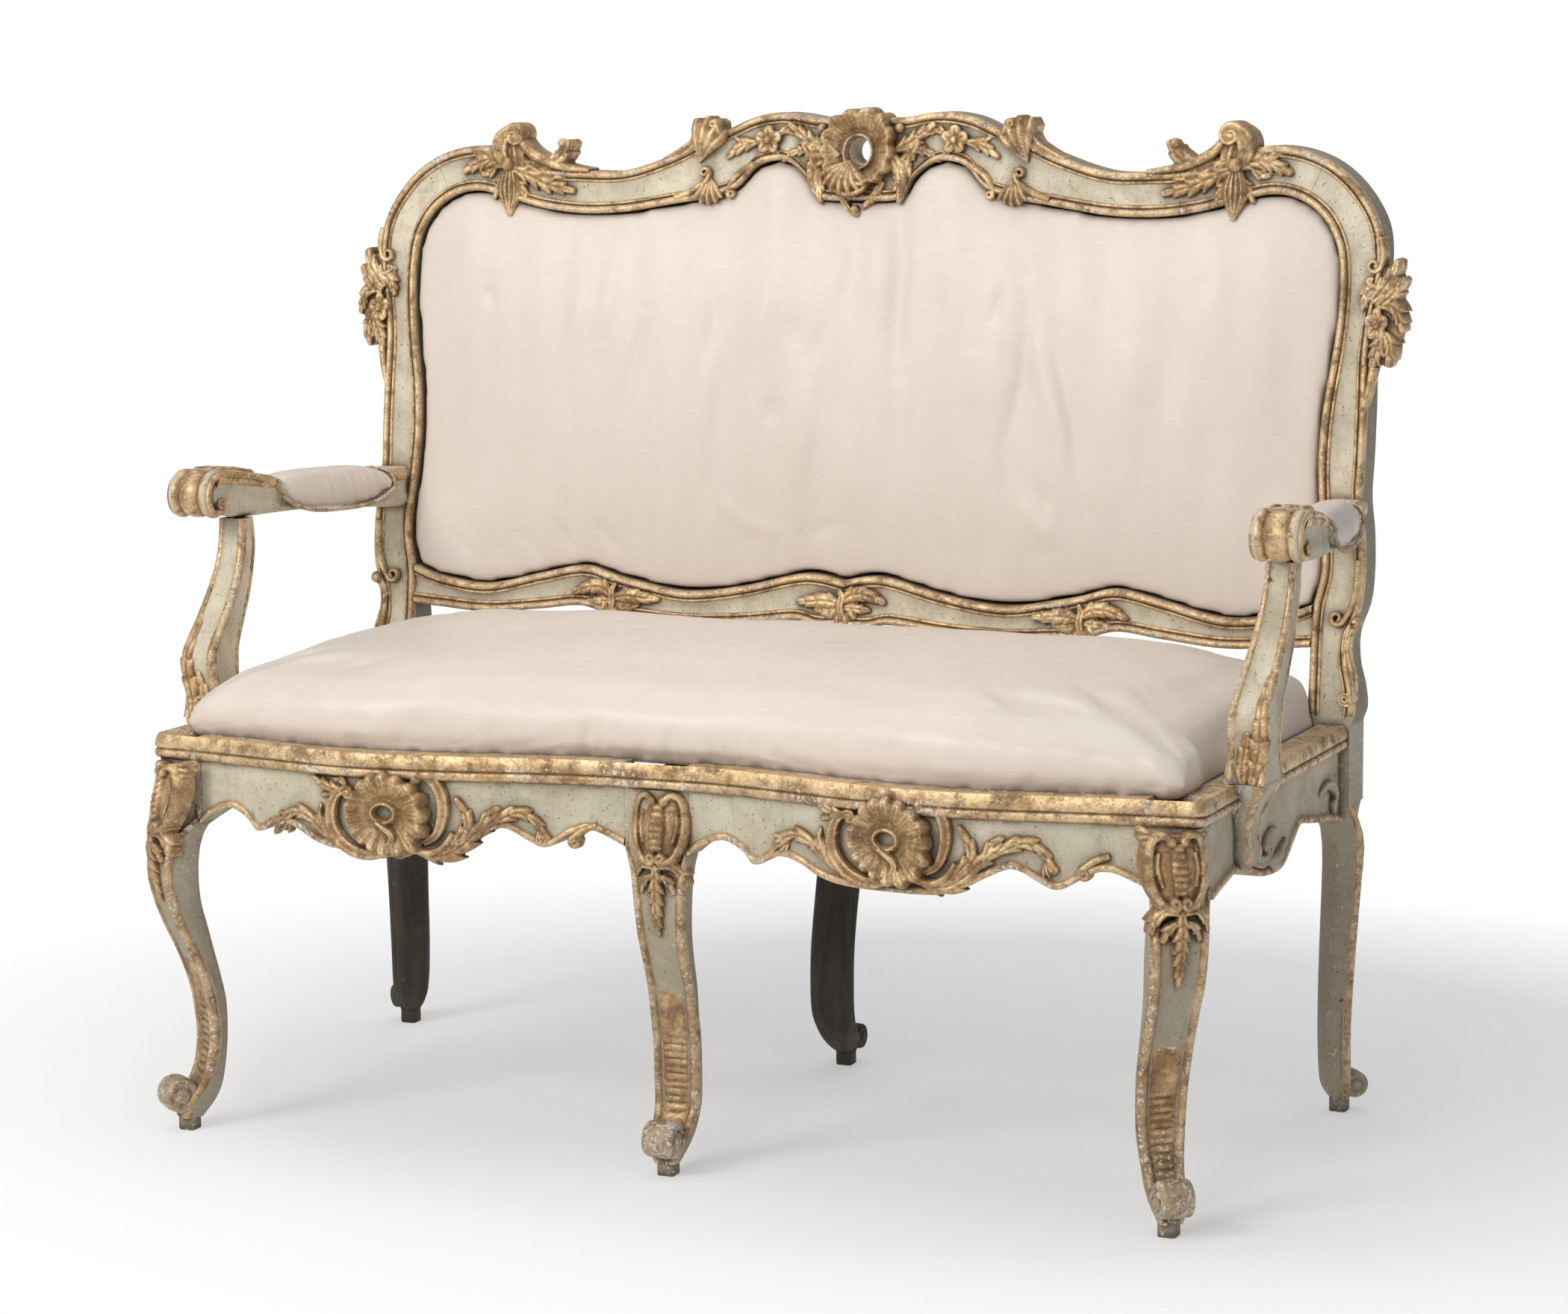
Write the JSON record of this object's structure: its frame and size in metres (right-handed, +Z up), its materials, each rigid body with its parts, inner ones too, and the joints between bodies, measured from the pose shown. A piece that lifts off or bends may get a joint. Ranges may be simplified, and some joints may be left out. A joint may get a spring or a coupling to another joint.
{
  "type": "settee",
  "caption": "Settee on cabriole legs with open padded arms, a stuffed seat and back, and a scalloped painted frame with gilt shells, flowers and scrolls.",
  "frame": {"origin": "on the floor, under the middle of the settee's bounding box", "axes": "+Z up, the front faces -Y, and +X runs to the right as seen from the front, along the settee's length"},
  "size_m": [1.317, 0.6872, 1.106],
  "materials": {
    "painted_wood": "worn matt sage grey paint over gesso",
    "bare_wood": "bare, darkened with age",
    "linen": "coarse plain weave",
    "silk": "slubbed ivory silk with a soft sheen",
    "gilding": "water gilding over red bole, worn and darkened in the hollows"
  },
  "bodies": {
    "root": {"crest_rail": "painted_wood", "back_post_right": "painted_wood", "back_post_left": "painted_wood", "lower_back_rail": "painted_wood", "rear_middle_leg": "painted_wood", "front_corner_leg_right": "painted_wood", "front_corner_leg_left": "painted_wood", "front_middle_leg": "painted_wood", "side_apron_right": "painted_wood", "side_apron_left": "painted_wood", "front_apron_left": "painted_wood", "front_apron_right": "painted_wood", "arm_right": "painted_wood", "arm_left": "painted_wood", "arm_support_right": "painted_wood", "arm_support_left": "painted_wood", "rear_seat_rail_right": "bare_wood", "rear_seat_rail_left": "bare_wood", "seat_cross_bearer": "bare_wood", "front_corner_brace_right": "bare_wood", "front_corner_brace_left": "bare_wood", "rear_corner_brace_right": "bare_wood", "rear_corner_brace_left": "bare_wood", "seat_webbing": "linen", "back_linen": "linen", "seat_cushion": "silk", "back_pad": "silk", "outside_back_cloth": "silk", "arm_pad_right": "silk", "arm_pad_left": "silk", "crest_shell": "gilding", "shoulder_scroll_right": "gilding", "shoulder_scroll_left": "gilding", "crest_edge_shell_right": "gilding", "crest_edge_shell_left": "gilding", "post_flower_right": "gilding", "post_flower_left": "gilding", "apron_shell_left": "gilding", "apron_shell_right": "gilding"}
  },
  "joints": []
}
